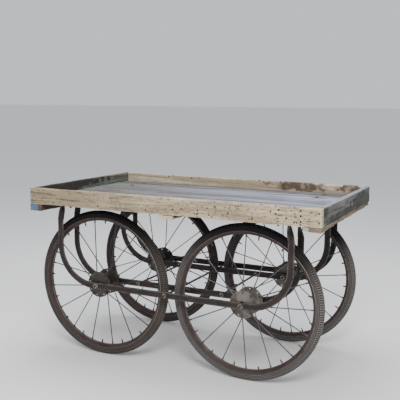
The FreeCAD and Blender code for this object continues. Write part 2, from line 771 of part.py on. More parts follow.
def tyre(label):
    """Open-bottomed tyre: side walls that bulge over the rim's edges, and a round tread."""
    body = new_body(label)
    bead = d.rim_shelf + d.rim_sheet + d.tyre_play
    toe = d.rim_half - d.bead_height - d.rim_sheet
    outside = d.rim_half - d.rim_sheet - d.tyre_play
    inside = outside - d.tyre_wall
    shoulder = d.axle_height - d.tyre_shoulder
    shoulder_inside = shoulder - d.tyre_wall
    wall_foot = d.rim_edge - d.wall_start
    revolved(body, label, [
        (bead, toe),
        (bead + d.bead_height, outside),
        (d.rim_edge, outside, d.side_bend, "right"),
        (shoulder, d.shoulder_half, d.crown_bend, "right"),
        (shoulder, -d.shoulder_half, d.side_bend, "right"),
        (d.rim_edge, -outside),
        (bead + d.bead_height, -outside),
        (bead, -toe),
        (bead, -inside + d.bead_extra),
        (wall_foot, -inside, d.side_bend_inside, "left"),
        (shoulder_inside, -d.shoulder_half_inside, d.crown_bend_inside, "left"),
        (shoulder_inside, d.shoulder_half_inside, d.side_bend_inside, "left"),
        (wall_foot, inside),
        (bead, inside - d.bead_extra),
    ])
    return body


def inner_tube(label, valve_turn):
    """A closed rubber ring whose valve stem goes through the rim between two nipples."""
    def torus(name, radius):
        solid = doc.addObject("Part::Torus", f"{label}_{name}")
        bind(solid, Radius1=d.tube_centre, Radius2=radius)
        place(solid, 0, 0, 0, Rotation(Vector(0, 0, 1), Vector(0, 1, 0)))
        return solid

    to_rim = valve_turn * Vector(0, 0, -1)
    stem = doc.addObject("Part::Cylinder", f"{label}_stem")
    bind(stem, Radius=d.valve_radius, Height=d.tube_centre - d.tube_radius / 2 - d.valve_tip)
    stem.Placement = Placement(to_rim * n.valve_tip, Rotation(Vector(0, 0, 1), to_rim))
    whole = doc.addObject("Part::Fuse", f"{label}_whole")
    whole.Base, whole.Tool = torus("outside", d.tube_radius), stem
    hollow = doc.addObject("Part::Cut", f"{label}_hollow")
    hollow.Base, hollow.Tool = whole, torus("inside", d.tube_radius - d.tube_wall)
    return hollow


def hub_end(k):
    """Where spoke k bends over outside its flange.  Spokes use the two flanges in turn."""
    return at_angle(n.spoke_circle, k * SPOKE_STEP, n.spoke_seat * (1 if k % 2 else -1))


def rim_end(k):
    """The seat of the nipple of spoke k, on the outer face of the rim's channel."""
    return at_angle(nipple_seat, k * SPOKE_STEP, 0)


def whole_spoke(k, rim_place):
    """Head inside the flange, a right-angled bend and a straight run to a nipple."""
    bend, seat = hub_end(k), rim_end(rim_place)
    outward = Vector(0, math.copysign(1, bend.y), 0)
    head_face = bend + outward * (n.head_place - n.spoke_seat)
    run = seat - bend
    pieces = [
        Part.makeSphere(n.spoke_radius, bend),
        Part.makeCylinder(n.spoke_radius, run.Length + 1, bend, run),
        Part.makeCylinder(n.spoke_radius, n.spoke_seat - n.head_place, head_face, outward),
        Part.makeCylinder(n.head_radius, n.head_thick, head_face, -outward),
    ]
    return pieces[0].multiFuse(pieces[1:])


def nipple(seat, inward):
    """Head outside the rim's channel and a barrel that points at the hub."""
    under_head = seat - inward * n.nipple_lift
    top = under_head - inward * n.nipple_head_thick
    flange = Part.makeCylinder(n.nipple_head, n.nipple_head_thick, top, inward)
    barrel = Part.makeCylinder(n.nipple_radius, n.nipple_length + n.nipple_lift, under_head, inward)
    bore = Part.makeCylinder(
        n.spoke_radius, n.nipple_length + n.nipple_lift + n.nipple_head_thick, top, inward)
    return flange.fuse(barrel).cut(bore)


def lacing(crossed, broken):
    """Spokes and nipples of one wheel.  Every second spoke of the full set is gone.  crossed
    lists the spokes that swap rim holes with the next one, and broken the empty places whose
    nipples still hold the end of a broken spoke."""
    rim_place = {k: k for k in range(SPOKES)}
    for k in crossed:
        rim_place[k], rim_place[k + 1] = k + 1, k
    spokes, nipples = [], []
    for k in range(SPOKES):
        spokes.append(whole_spoke(k, rim_place[k]))
        seat = rim_end(rim_place[k])
        nipples.append(nipple(seat, (hub_end(k) - seat).normalize()))
        empty = rim_end(k + 0.5)
        inward = (-empty).normalize()
        nipples.append(nipple(empty, inward))
        if k in broken:
            spokes.append(Part.makeCylinder(
                n.spoke_radius, n.nipple_length + n.stub_length + 1, empty - inward, inward))
    return spokes, nipples


def bearing_balls():
    """Two rings of balls, running between the hub's cups and the cones on the axle."""
    pitch_radius = n.cup_radius - n.ball_radius - n.ball_play
    row = n.cup_floor + n.ball_radius + n.ball_play
    count = int(n.ball_count)
    return [
        Part.makeSphere(n.ball_radius, at_angle(pitch_radius, 360 * k / count, side * row))
        for side in (-1, 1) for k in range(count)]


# How far each wheel has rolled, in which gap between two nipples its valve sits, its
# crossed spokes and its broken ones.
wheels = {
    "front_left": (9, -1, (11,), (1, 4, 6, 8, 10, 11, 12, 15)),
    "front_right": (1, 15, (2,), (0, 3, 5, 8, 9, 11, 13, 14)),
    "rear_left": (14, -1, (7,), (2, 4, 5, 9, 10, 13)),
    "rear_right": (6, 15, (13,), (1, 3, 6, 7, 11, 12, 14)),
}
for corner, (rolled, valve_gap, crossed, broken) in wheels.items():
    x, y = corners[corner]
    spokes, nipples = lacing(crossed, broken)
    valve_turn = Rotation(Vector(0, 1, 0), -90 - HOLE_STEP * (valve_gap + 0.5))
    subparts = [
        finish(tyre(f"{corner}_tyre"), f"{corner}_tyre"),
        finish(inner_tube(f"{corner}_inner_tube", valve_turn), f"{corner}_inner_tube"),
        finish(steel_rim(f"{corner}_rim", valve_turn), f"{corner}_rim"),
        finish(hub_shell(f"{corner}_hub_shell"), f"{corner}_hub_shell"),
        group(f"{corner}_spokes", spokes),
        group(f"{corner}_nipples", nipples),
        group(f"{corner}_bearing_balls", bearing_balls()),
    ]
    for subpart in subparts:
        place(subpart, x, y, d.axle_height, Rotation(Vector(0, 1, 0), -rolled))

# ------------------------------------------------------------------ check and write out

doc.recompute()
for obj in doc.Objects:
    if "Invalid" in obj.State or "Error" in obj.State:
        raise RuntimeError(f"{obj.Name} did not compute: {obj.State}")

os.makedirs("parts", exist_ok=True)
for obj in parts:
    shape = obj.Shape
    if shape.isNull() or not shape.isValid() or not shape.Solids:
        raise RuntimeError(f"{obj.Label} has no valid solid")
    shape.exportStep(f"parts/{obj.Label}.step")
    print(f"{obj.Label}: {len(shape.Solids)} solid(s), {shape.Volume / 1000:.1f} cm3")
print(f"{len(parts)} parts written")
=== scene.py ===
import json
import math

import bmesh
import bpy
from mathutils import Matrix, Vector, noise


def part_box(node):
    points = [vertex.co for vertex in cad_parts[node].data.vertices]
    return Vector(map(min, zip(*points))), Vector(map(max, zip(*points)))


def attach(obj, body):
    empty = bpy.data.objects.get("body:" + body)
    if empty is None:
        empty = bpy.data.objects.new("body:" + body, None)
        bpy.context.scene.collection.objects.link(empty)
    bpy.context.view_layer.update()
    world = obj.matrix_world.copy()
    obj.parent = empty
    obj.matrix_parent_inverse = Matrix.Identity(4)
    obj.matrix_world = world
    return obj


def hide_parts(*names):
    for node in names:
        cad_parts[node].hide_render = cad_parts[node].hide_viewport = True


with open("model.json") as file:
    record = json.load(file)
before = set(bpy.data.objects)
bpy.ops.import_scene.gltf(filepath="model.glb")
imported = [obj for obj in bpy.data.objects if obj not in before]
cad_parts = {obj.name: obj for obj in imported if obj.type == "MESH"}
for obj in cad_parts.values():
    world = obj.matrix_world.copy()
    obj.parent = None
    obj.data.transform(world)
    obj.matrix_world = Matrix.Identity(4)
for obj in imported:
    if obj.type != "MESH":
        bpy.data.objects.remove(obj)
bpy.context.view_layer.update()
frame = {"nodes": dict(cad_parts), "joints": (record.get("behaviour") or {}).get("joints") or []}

# %% [markdown]
# # A street vendor's hand cart
# The frame already holds every hard part of the cart at its real size: planks, flat-iron
# bars, wheels and bolts.  This lesson gives it its looks.  First come a few helpers and the
# shader groups that several finishes share.  Then come the finishes, the pieces whose shape
# needs more than a plain solid (worn boards, pulled iron bars, tyres and rims), and at the
# end the floor, the lights and the camera.

MM = 0.001
TRAY = "tray_and_frame"
CORNERS = ("front_left", "front_right", "rear_left", "rear_right")
hub_middle = {j["name"].removesuffix("_spin"): Vector(j["pos_m"]) for j in frame["joints"]}
tray_low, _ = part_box("rim_board_left")
_, tray_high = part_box("rim_board_right")

# %% [markdown]
# A finished piece is one mesh object at the origin, because a pattern that reads Object
# coordinates would slide if the object itself were moved.  One helper turns a bmesh into such
# an object, gives it its finish and says which body it rides on.  Edges sharper than the
# given angle stay crisp and the rest is shaded smooth.

# %% From a bmesh to a piece
SHARP = math.radians(38)


def finish_piece(bm, name, material, body, slot, *stands_for, sharp=SHARP):
    """Make an object of bm, smooth it, and put it on its body."""
    bmesh.ops.recalc_face_normals(bm, faces=bm.faces)
    mesh = bpy.data.meshes.new(name)
    bm.to_mesh(mesh)
    bm.free()
    return place_piece(mesh, name, material, body, slot, *stands_for, sharp=sharp)


def place_piece(mesh, name, material, body, slot, *stands_for, sharp=SHARP):
    piece = bpy.data.objects.new(name, mesh)
    bpy.context.scene.collection.objects.link(piece)
    mesh.shade_smooth()
    mesh.set_sharp_from_angle(angle=sharp)
    mesh.materials.clear()
    mesh.materials.append(material)
    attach(piece, body)
    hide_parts(*stands_for)
    return piece


# %% [markdown]
# Materials are node trees.  A few small helpers keep the code readable.  One feeds a socket
# with either a link or a plain value, and the others add the nodes that turn up everywhere:
# a noise, a mix of two colours, a sum or product, a soft step between two limits, and a
# stretch of the coordinates.

# %% Helpers for node trees
def feed(tree, socket, source):
    if isinstance(source, bpy.types.NodeSocket):
        tree.links.new(source, socket)
    elif source is not None:
        socket.default_value = source


def noise_of(tree, vector, scale, detail=4.0, roughness=0.55):
    node = tree.nodes.new("ShaderNodeTexNoise")
    feed(tree, node.inputs["Vector"], vector)
    feed(tree, node.inputs["Scale"], scale)
    feed(tree, node.inputs["Detail"], detail)
    feed(tree, node.inputs["Roughness"], roughness)
    return node.outputs[0]


def mixed(tree, share, under, over, how="MIX"):
    node = tree.nodes.new("ShaderNodeMix")
    node.data_type = "RGBA"
    node.blend_type = how
    feed(tree, node.inputs[0], share)
    feed(tree, node.inputs[6], under)
    feed(tree, node.inputs[7], over)
    return node.outputs[2]


def worked(tree, operation, first, second=None, third=None):
    node = tree.nodes.new("ShaderNodeMath")
    node.operation = operation
    for socket, source in zip(node.inputs, (first, second, third)):
        feed(tree, socket, source)
    return node.outputs[0]


def stepped(tree, value, low, high, to_low=0.0, to_high=1.0):
    """to_low where value is below low, to_high above high, and a smooth rise between."""
    node = tree.nodes.new("ShaderNodeMapRange")
    node.interpolation_type = "SMOOTHSTEP"
    for name, source in (("Value", value), ("From Min", low), ("From Max", high),
                         ("To Min", to_low), ("To Max", to_high)):
        feed(tree, node.inputs[name], source)
    return node.outputs[0]


def stretched(tree, vector, scale, location=(0, 0, 0), turn=0.0):
    """The vector, turned about Z, moved and stretched."""
    node = tree.nodes.new("ShaderNodeMapping")
    feed(tree, node.inputs["Vector"], vector)
    node.inputs["Location"].default_value = location
    node.inputs["Rotation"].default_value = (0, 0, turn)
    node.inputs["Scale"].default_value = scale
    return node.outputs[0]


def rgb(red, green, blue):
    """A colour socket's value, from the linear amounts of light it sends back."""
    return (red, green, blue, 1.0)


# %% [markdown]
# An effect that several finishes share is a node group, like a small tool of its own: its
# named inputs are what one finish sets differently from the next, and it puts out masks and
# heights, never a shader.  This helper makes an empty group with its sockets.

# %% An empty shader group
def new_group(name, inputs, outputs):
    tree = bpy.data.node_groups.new(name, "ShaderNodeTree")
    for label, kind, value in inputs:
        socket = tree.interface.new_socket(label, in_out="INPUT", socket_type=kind)
        if value is not None:
            socket.default_value = value
    for label, kind in outputs:
        tree.interface.new_socket(label, in_out="OUTPUT", socket_type=kind)
    return tree, tree.nodes.new("NodeGroupInput"), tree.nodes.new("NodeGroupOutput")


def use_group(tree, group, **inputs):
    """Place a group in a material; underscores in the keywords stand for spaces."""
    node = tree.nodes.new("ShaderNodeGroup")
    node.node_tree = group
    for label, source in inputs.items():
        feed(tree, node.inputs[label.replace("_", " ")], source)
    return node.outputs


FLOAT, VECTOR = "NodeSocketFloat", "NodeSocketVector"

# %% [markdown]
# ## Grain
# Old softwood shows two things at once: long fibres that the weather has raised, and wide
# growth bands that wander along the board.  Both come from noise that is stretched along the
# board, the bands by running a stretched noise through a sine.  The group expects the board
# to run along X; a board that runs the other way turns its coordinates first.

# %% Group: weathered grain
grain_group, g_in, g_out = new_group(
    "weathered_grain",
    [("Vector", VECTOR, None), ("Band Count", FLOAT, 26.0)],
    [("Fibre", FLOAT), ("Band", FLOAT), ("Crack", FLOAT)])
g = grain_group
fibre = noise_of(g, stretched(g, g_in.outputs["Vector"], (5, 210, 210)), 1.0, 7.0, 0.62)
slow = noise_of(g, stretched(g, g_in.outputs["Vector"], (0.9, 9, 9)), 1.0, 3.0, 0.5)
wave = worked(g, "SINE", worked(g, "MULTIPLY", slow, g_in.outputs["Band Count"]))
feed(g, g_out.inputs["Fibre"], fibre)
feed(g, g_out.inputs["Band"], worked(g, "MULTIPLY_ADD", wave, 0.5, 0.5))
split = noise_of(g, stretched(g, g_in.outputs["Vector"], (1.3, 34, 34)), 1.0, 5.0, 0.6)
away = worked(g, "ABSOLUTE", worked(g, "SUBTRACT", split, 0.5))
feed(g, g_out.inputs["Crack"], stepped(g, away, 0.004, 0.013, 1.0, 0.0))

# %% [markdown]
# ## Blotches, holes and stains
# Dirt, flaking and stains are patches with ragged edges: a noise cut at a level.  Worm holes
# and old nail holes are small round pits, which the cells of a Voronoi texture give.  Only a
# share of the cells gets a hole, chosen by the cell's own random colour.  A stain sits at one
# place on one board, so it is an ellipsoid about a point whose edge is made ragged by noise.

# %% Groups: blotch, pin hole and stain
blotch_group, g_in, g_out = new_group(
    "blotch",
    [("Vector", VECTOR, None), ("Scale", FLOAT, 8.0), ("Level", FLOAT, 0.55),
     ("Soft", FLOAT, 0.06)],
    [("Mask", FLOAT)])
g = blotch_group
patchy = noise_of(g, g_in.outputs["Vector"], g_in.outputs["Scale"], 6.0, 0.6)
feed(g, g_out.inputs["Mask"], stepped(
    g, patchy, worked(g, "SUBTRACT", g_in.outputs["Level"], g_in.outputs["Soft"]),
    worked(g, "ADD", g_in.outputs["Level"], g_in.outputs["Soft"])))

hole_group, g_in, g_out = new_group(
    "pin_holes",
    [("Vector", VECTOR, None), ("Scale", FLOAT, 30.0), ("Size", FLOAT, 0.16),
     ("Share", FLOAT, 0.3)],
    [("Mask", FLOAT)])
g = hole_group
cells = g.nodes.new("ShaderNodeTexVoronoi")
feed(g, cells.inputs["Vector"], g_in.outputs["Vector"])
feed(g, cells.inputs["Scale"], g_in.outputs["Scale"])
pick = g.nodes.new("ShaderNodeSeparateColor")
feed(g, pick.inputs[0], cells.outputs["Color"])
chosen = worked(g, "LESS_THAN", pick.outputs[0], g_in.outputs["Share"])
wide = worked(g, "MULTIPLY", g_in.outputs["Size"], worked(g, "ADD", pick.outputs[1], 0.4))
pit = stepped(g, cells.outputs["Distance"], worked(g, "MULTIPLY", wide, 0.6), wide, 1.0, 0.0)
feed(g, g_out.inputs["Mask"], worked(g, "MULTIPLY", pit, chosen))

stain_group, g_in, g_out = new_group(
    "stain",
    [("Vector", VECTOR, None), ("Middle", VECTOR, (0, 0, 0)), ("Reach", VECTOR, (1, 1, 1)),
     ("Ragged", FLOAT, 0.6)],
    [("Mask", FLOAT)])
g = stain_group
offset = g.nodes.new("ShaderNodeVectorMath")
offset.operation = "SUBTRACT"
feed(g, offset.inputs[0], g_in.outputs["Vector"])
feed(g, offset.inputs[1], g_in.outputs["Middle"])
shaped = g.nodes.new("ShaderNodeVectorMath")
shaped.operation = "DIVIDE"
feed(g, shaped.inputs[0], offset.outputs[0])
feed(g, shaped.inputs[1], g_in.outputs["Reach"])
far = g.nodes.new("ShaderNodeVectorMath")
far.operation = "LENGTH"
feed(g, far.inputs[0], shaped.outputs[0])
rag = worked(g, "SUBTRACT", noise_of(g, g_in.outputs["Vector"], 22.0, 6.0, 0.62), 0.5)
ragged = worked(g, "MULTIPLY_ADD", worked(g, "MULTIPLY", rag, 3.2), g_in.outputs["Ragged"],
                far.outputs["Value"])
feed(g, g_out.inputs["Mask"], stepped(g, ragged, 0.72, 1.05, 1.0, 0.0))

# %% [markdown]
# ## Starting a material
# On a rim the attribute also marks a painted highlight along the rolled edge.
# Every finish starts the same way: a Principled BSDF, the Object coordinates, and the piece's
# own "worn" attribute, which is 1 along the edges that hands, goods and weather have rubbed.
# Bumps are chained: each one takes the normal of the one before.

# %% Start of a material
class Finish:
    """A material in the making, with the sockets that its patterns start from."""

    def __init__(self, name, metallic=0.0):
        self.material = bpy.data.materials.new(name)
        self.material.use_nodes = True
        self.tree = self.material.node_tree
        self.shader = self.tree.nodes["Principled BSDF"]
        self.shader.inputs["Metallic"].default_value = metallic
        self.place = self.tree.nodes.new("ShaderNodeTexCoord").outputs["Object"]
        worn = self.tree.nodes.new("ShaderNodeAttribute")
        worn.attribute_name = "worn"
        self.worn = worn.outputs["Fac"]
        self.normal = None

    def bump(self, height, depth, strength=1.0):
        node = self.tree.nodes.new("ShaderNodeBump")
        node.inputs["Distance"].default_value = depth
        node.inputs["Strength"].default_value = strength
        feed(self.tree, node.inputs["Height"], height)
        if self.normal:
            feed(self.tree, node.inputs["Normal"], self.normal)
        self.normal = node.outputs[0]

    def done(self, colour, roughness):
        feed(self.tree, self.shader.inputs["Base Color"], colour)
        feed(self.tree, self.shader.inputs["Roughness"], roughness)
        if self.normal:
            feed(self.tree, self.shader.inputs["Normal"], self.normal)
        return self.material


def blotches(finish, scale, level, soft=0.06, place=None):
    return use_group(finish.tree, blotch_group, Vector=place or finish.place,
                     Scale=scale, Level=level, Soft=soft)["Mask"]


def stain(finish, middle, reach, ragged=0.6):
    return use_group(finish.tree, stain_group, Vector=finish.place, Middle=middle,
                     Reach=reach, Ragged=ragged)["Mask"]


# %% [markdown]
# ## Weathered wood
# All boards are the same kind of wood at different ages and in different dirt.  One function
# lays the layers down in the order in which they came: pale wood, brown bands, grey fibres,
# grime in blotches, dark cracks and holes, and last the rubbed edges.  Each board then adds
# its own stains or paint on top.

# %% The layers of old wood
def old_wood(name, pale, brown, seed, along_y=False, flat="Z", holes=0.25, grime=0.5, crack=0.5,
             band_count=26.0, hole_scale=42.0, speckle=0.45, hole_size=0.2):
    """Return the finish, and its colour so far, ready for stains or paint.

    flat is the axis, in the board's own turned coordinates, that its wide face looks along.
    """
    f = Finish(name)
    t = f.tree
    board = stretched(t, f.place, (1, 1, 1), (seed * 1.7, seed * 0.9, seed * 0.4),
                      math.pi / 2 if along_y else 0.0)
    grain = use_group(t, grain_group, Vector=board, Band_Count=band_count)
    colour = mixed(t, stepped(t, grain["Band"], 0.25, 0.95), pale, brown)
    colour = mixed(t, stepped(t, grain["Fibre"], 0.35, 0.7, 0.0, 0.55), colour,
                   tuple(0.55 * c for c in brown[:3]) + (1.0,), "MULTIPLY")
    dirty = blotches(f, 6.0, 1.0 - grime, 0.16, board)
    colour = mixed(t, worked(t, "MULTIPLY", dirty, 0.5), colour,
                   tuple(0.45 * c for c in pale[:3]) + (1.0,))
    cracks = worked(t, "MULTIPLY", grain["Crack"], blotches(f, 3.0, 1.0 - crack, 0.1, board))
    face = stretched(t, board, (1, 0, 1) if flat == "Y" else (1, 1, 0))
    pits = use_group(t, hole_group, Vector=face, Scale=hole_scale, Size=hole_size,
                     Share=worked(t, "MULTIPLY", blotches(f, 5.0, 0.48, 0.12, face), holes))
    dark = worked(t, "MAXIMUM", worked(t, "MULTIPLY", cracks, 0.75), pits["Mask"])
    specks = stepped(t, noise_of(t, stretched(t, board, (60, 130, 130)), 1.0, 3.0, 0.7),
                     0.52, 0.66, 0.0, speckle)
    colour = mixed(t, specks, colour, tuple(0.3 * c for c in brown[:3]) + (1.0,))
    colour = mixed(t, dark, colour, rgb(0.022, 0.015, 0.010))
    rubbed = worked(t, "MULTIPLY", f.worn, blotches(f, 30.0, 0.45, 0.15, board))
    colour = mixed(t, worked(t, "MULTIPLY", rubbed, 0.55), colour,
                   tuple(min(1.0, 1.25 * c) for c in pale[:3]) + (1.0,))
    f.bump(worked(t, "MULTIPLY_ADD", dark, -2.2, grain["Fibre"]), 0.0013)
    f.bump(grain["Band"], 0.0006, 0.7)
    return f, colour


def wood_done(f, colour):
    rough = stepped(f.tree, noise_of(f.tree, f.place, 60.0), 0.3, 0.7, 0.78, 0.95)
    return f.done(colour, rough)


# %% [markdown]
# The front and rear boards have been bleached almost to straw by the sun.  The front board
# is painted darker at its left end, as painted shade that deepens the fall of the light
# towards the left, and its right part is riddled with holes.  The rear board has two brown
# stains inside, where goods leaked onto it.

# %% Finishes: front and rear boards
f, colour = old_wood("front_board_wood", rgb(0.60, 0.50, 0.345), rgb(0.37, 0.29, 0.19), 1.0,
                     flat="Y", holes=0.85, grime=0.52, crack=0.5, hole_scale=64.0, speckle=0.9,
                     hole_size=0.23)
# Painted shade: the front board's left end is darkened.
left_end_shade = stain(f, (tray_low.x, tray_low.y, 0.78), (0.72, 0.4, 0.4), 0.35)
colour = mixed(f.tree, worked(f.tree, "MULTIPLY", left_end_shade, 0.5), colour,
               rgb(0.25, 0.195, 0.125))
front_board_wood = wood_done(f, colour)

f, colour = old_wood("rear_board_wood", rgb(0.60, 0.525, 0.40), rgb(0.41, 0.325, 0.225), 2.0,
                     flat="Y", holes=0.4, grime=0.45, crack=0.35)
for start, end in ((0.17, 0.56), (0.58, 0.73)):
    leaked = stain(f, ((start + end) / 2, tray_high.y, 0.80), ((end - start) / 2, 0.05, 0.036),
                   0.5)
    mottled = worked(f.tree, "MULTIPLY", leaked, blotches(f, 30.0, 0.36, 0.2))
    colour = mixed(f.tree, worked(f.tree, "MULTIPLY", mottled, 0.9), colour,
                   rgb(0.060, 0.040, 0.026))
foot = stain(f, (0, tray_high.y, tray_low.z + 0.012), (1.6, 0.1, 0.016), 0.5)
colour = mixed(f.tree, worked(f.tree, "MULTIPLY", foot, 0.7), colour, rgb(0.10, 0.085, 0.065))
rear_board_wood = wood_done(f, colour)

# %% [markdown]
# The two end boards are another, greyer wood.  The right one has black water stains that
# climb from its lower edge and towards the rear, and a painted highlight of pale lavender
# along its top edge, as if lit by the sky.  The left one is painted nearly black on the near
# part of its inner face, which is painted shade, and greyer with a trace of green paint
# beyond.

# %% Finishes: end boards
f, colour = old_wood("right_board_wood", rgb(0.225, 0.232, 0.218), rgb(0.105, 0.106, 0.094), 3.0,
                     along_y=True, flat="Y", holes=0.2, grime=0.55, crack=0.55)
for middle, reach in (((tray_high.x, 0.28, 0.765), (0.2, 0.30, 0.05)),
                      ((tray_high.x, -0.06, 0.748), (0.2, 0.30, 0.026)),
                      ((tray_high.x, -0.40, 0.80), (0.2, 0.05, 0.03))):
    wet = stain(f, middle, reach, 0.9)
    colour = mixed(f.tree, worked(f.tree, "MULTIPLY", wet, 0.88), colour,
                   rgb(0.022, 0.021, 0.018))
# Painted highlight: the right board's top edge is lightened to a pale lavender, as if lit by the
# sky above.
lit_top_edge = stain(f, (tray_high.x, 0, tray_high.z + 0.008), (0.3, 0.9, 0.013), 0.12)
colour = mixed(f.tree, worked(f.tree, "MULTIPLY", lit_top_edge, 0.45), colour, rgb(0.42, 0.41, 0.50))
right_board_wood = wood_done(f, colour)

f, colour = old_wood("left_board_wood", rgb(0.20, 0.18, 0.145), rgb(0.11, 0.09, 0.065), 4.0,
                     along_y=True, flat="Y", holes=0.25, grime=0.6, crack=0.5)
# Painted shade: the near part of the left board's inner face is darkened nearly to black.
shaded_near_part = stain(f, (tray_low.x, -0.30, 0.79), (0.2, 0.54, 0.2), 0.6)
colour = mixed(f.tree, worked(f.tree, "MULTIPLY", shaded_near_part, 0.94), colour,
               rgb(0.016, 0.011, 0.009))
green = stain(f, (tray_low.x, 0.22, 0.776), (0.2, 0.28, 0.014), 0.7)
colour = mixed(f.tree, worked(f.tree, "MULTIPLY", green, 0.6), colour, rgb(0.10, 0.16, 0.13))
left_board_wood = wood_done(f, colour)

# %% [markdown]
# The deck was painted pale blue once.  What is left of the paint lies on the grey wood as a
# thin worn film, so each plank mixes a blue film in by blotches that are stretched along the
# plank.  The film also stands for the bluish sky light on the deck, and it is painted
# stronger towards the right as painted light.  Dirt is caked along the planks' edges, and
# rust has run into the wood round four of the foot bolts.

# %% Finishes: deck planks
FOOT_BOLT_STAINS = ((-0.5325, -0.360), (0.5375, -0.228), (0.5375, 0.213), (0.5375, 0.345))
DECK_TONES = (
    (rgb(0.175, 0.17, 0.15), rgb(0.105, 0.095, 0.075), 0.58),
    (rgb(0.20, 0.195, 0.18), rgb(0.12, 0.11, 0.095), 0.66),
    (rgb(0.165, 0.155, 0.135), rgb(0.10, 0.088, 0.07), 0.5),
    (rgb(0.18, 0.175, 0.155), rgb(0.11, 0.10, 0.082), 0.58),
    (rgb(0.15, 0.14, 0.12), rgb(0.09, 0.078, 0.06), 0.36),
)


def deck_finish(number, pale, brown, film):
    f, colour = old_wood(f"deck_wood_{number}", pale, brown, 5.0 + number, holes=0.15,
                         grime=0.5, crack=0.4, band_count=20.0)
    t = f.tree
    streaks = blotches(f, 1.0, 1.0 - film, 0.16,
                       stretched(t, f.place, (1.8, 13, 13), (number * 0.7, 0, 0)))
    apart = t.nodes.new("ShaderNodeSeparateXYZ")
    feed(t, apart.inputs[0], f.place)
    # Painted light: the blue film, which also stands for bluish sky light on the deck, grows
    # stronger towards the right.
    rightward_painted_light = stepped(t, apart.outputs["X"], -0.55, 0.50, 0.12, 1.0)
    colour = mixed(t, worked(t, "MULTIPLY", worked(t, "MULTIPLY", streaks, rightward_painted_light), 0.85),
                   colour, rgb(0.315, 0.33, 0.45))
    caked = worked(t, "MULTIPLY", stepped(t, f.worn, 0.1, 0.9), blotches(f, 14.0, 0.44, 0.12))
    colour = mixed(t, worked(t, "MULTIPLY", caked, 0.75), colour, rgb(0.050, 0.042, 0.034))
    for x, y in FOOT_BOLT_STAINS:
        leaked = stain(f, (x, y, 0.772), (0.045, 0.024, 0.05), 0.5)
        colour = mixed(t, worked(t, "MULTIPLY", leaked, 0.7), colour, rgb(0.05, 0.045, 0.04))
    return wood_done(f, colour)


deck_wood = [deck_finish(k, *tones) for k, tones in enumerate(DECK_TONES, start=1)]

# %% [markdown]
# The three battens under the deck come from three different boards.  The left one still has
# blue paint on its front end, the middle one ends in clean pale wood, and the right one is
# reddish with a pale corner.

# %% Finishes: battens
def batten_finish(name, pale, brown, seed, end_colour, end_middle, end_reach):
    f, colour = old_wood(name, pale, brown, seed, along_y=True, grime=0.6, crack=0.5)
    end = stain(f, end_middle, end_reach, 0.3)
    colour = mixed(f.tree, worked(f.tree, "MULTIPLY", end, 0.88), colour, end_colour)
    return wood_done(f, colour)


def front_end(node, share=0.5):
    """A point on a batten's front end, that share of its width from the left."""
    low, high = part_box(node)
    return (low.x + (high.x - low.x) * share, low.y, (low.z + high.z) / 2)


batten_wood = {
    "batten_left": batten_finish(
        "batten_left_wood", rgb(0.16, 0.125, 0.09), rgb(0.08, 0.06, 0.045), 11.0,
        rgb(0.075, 0.155, 0.25), front_end("batten_left", 0.25), (0.036, 0.02, 0.022)),
    "batten_middle": batten_finish(
        "batten_middle_wood", rgb(0.30, 0.23, 0.16), rgb(0.15, 0.10, 0.065), 12.0,
        rgb(0.55, 0.49, 0.38), front_end("batten_middle"), (0.06, 0.03, 0.03)),
    "batten_right": batten_finish(
        "batten_right_wood", rgb(0.24, 0.18, 0.13), rgb(0.13, 0.085, 0.06), 13.0,
        rgb(0.46, 0.45, 0.37), front_end("batten_right", 0.04), (0.022, 0.03, 0.016)),
}

# %% [markdown]
# ## Iron, rust and rubber
# The bars are mild steel under many coats of dark paint.  Paint is a dielectric and rust is
# too, so both keep Metallic at zero, and only the rubbed edges turn towards bare metal by a
# lighter, browner colour.  The same recipe with other colours does the rods, the rims, the
# hubs and the spokes.

# %% The layers of old iron
def old_iron(name, paint, rust, bare, rusted=0.45, shine=(0.38, 0.7), metallic=0.0,
             rubbed=0.8, scuff_level=0.47, pitted=0.0004, specular=0.5):
    f = Finish(name, metallic)
    f.shader.inputs["Specular IOR Level"].default_value = specular
    t = f.tree
    rusty = blotches(f, 14.0, 1.0 - rusted, 0.09)
    fine = blotches(f, 120.0, 0.56, 0.1)
    colour = mixed(t, worked(t, "MULTIPLY", rusty, 0.85), paint, rust)
    colour = mixed(t, worked(t, "MULTIPLY", fine, 0.35), colour,
                   tuple(0.45 * c for c in rust[:3]) + (1.0,))
    scuffed = worked(t, "MULTIPLY", f.worn, blotches(f, 38.0, scuff_level, 0.14))
    colour = mixed(t, worked(t, "MULTIPLY", scuffed, rubbed), colour, bare)
    f.bump(worked(t, "ADD", noise_of(t, f.place, 150.0, 5.0), rusty), pitted)
    rough = worked(t, "MAXIMUM", stepped(t, noise_of(t, f.place, 25.0), 0.3, 0.7, *shine),
                   worked(t, "MULTIPLY", rusty, 0.72))
    return f.done(colour, rough)


bar_iron = old_iron("bar_iron", rgb(0.013, 0.010, 0.0095), rgb(0.030, 0.018, 0.016),
                    rgb(0.11, 0.09, 0.08), rusted=0.46, shine=(0.40, 0.60), specular=0.3)
rod_iron = old_iron("rod_iron", rgb(0.022, 0.018, 0.016), rgb(0.04, 0.024, 0.017),
                    rgb(0.1, 0.09, 0.08), rusted=0.5)
# On the rims the rubbed, bare colour along the rolled edge is partly real wear and partly a
# painted highlight: a thin pale line along the edge.
rim_iron_and_edge_highlight = old_iron("rim_iron_and_edge_highlight", rgb(0.030, 0.014, 0.014), rgb(0.046, 0.030, 0.027),
                    rgb(0.30, 0.28, 0.26), rusted=0.5, shine=(0.36, 0.62), rubbed=0.8,
                    scuff_level=0.40, specular=0.35)
